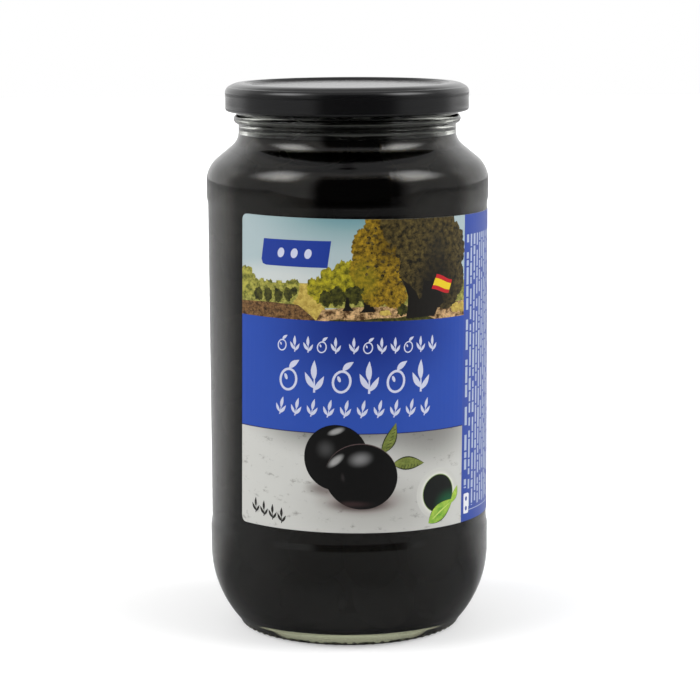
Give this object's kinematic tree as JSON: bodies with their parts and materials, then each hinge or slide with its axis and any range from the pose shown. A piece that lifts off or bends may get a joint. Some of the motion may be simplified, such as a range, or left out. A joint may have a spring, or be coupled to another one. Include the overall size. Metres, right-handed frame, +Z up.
{
  "type": "jar of olives",
  "caption": "Round glass jar of black olives in brine, with a black twist-off steel cap and a wrapped paper label.",
  "frame": {"origin": "centre of the ring that the jar stands on", "axes": "+Z up along the jar's axis, -Y towards the middle of the label's front, +X to the right when the front is faced"},
  "size_m": [0.093, 0.093, 0.1809],
  "materials": {
    "jar_glass": "clear, faintly green",
    "cap_lacquer": "gloss black lacquer",
    "label_paper": "printed, semi-gloss",
    "brine": "dark liquid",
    "olive_skin": "wet, black"
  },
  "bodies": {
    "root": {"jar": "jar_glass", "cap": "cap_lacquer", "label": "label_paper", "brine": "brine", "olives": "olive_skin"}
  },
  "joints": []
}
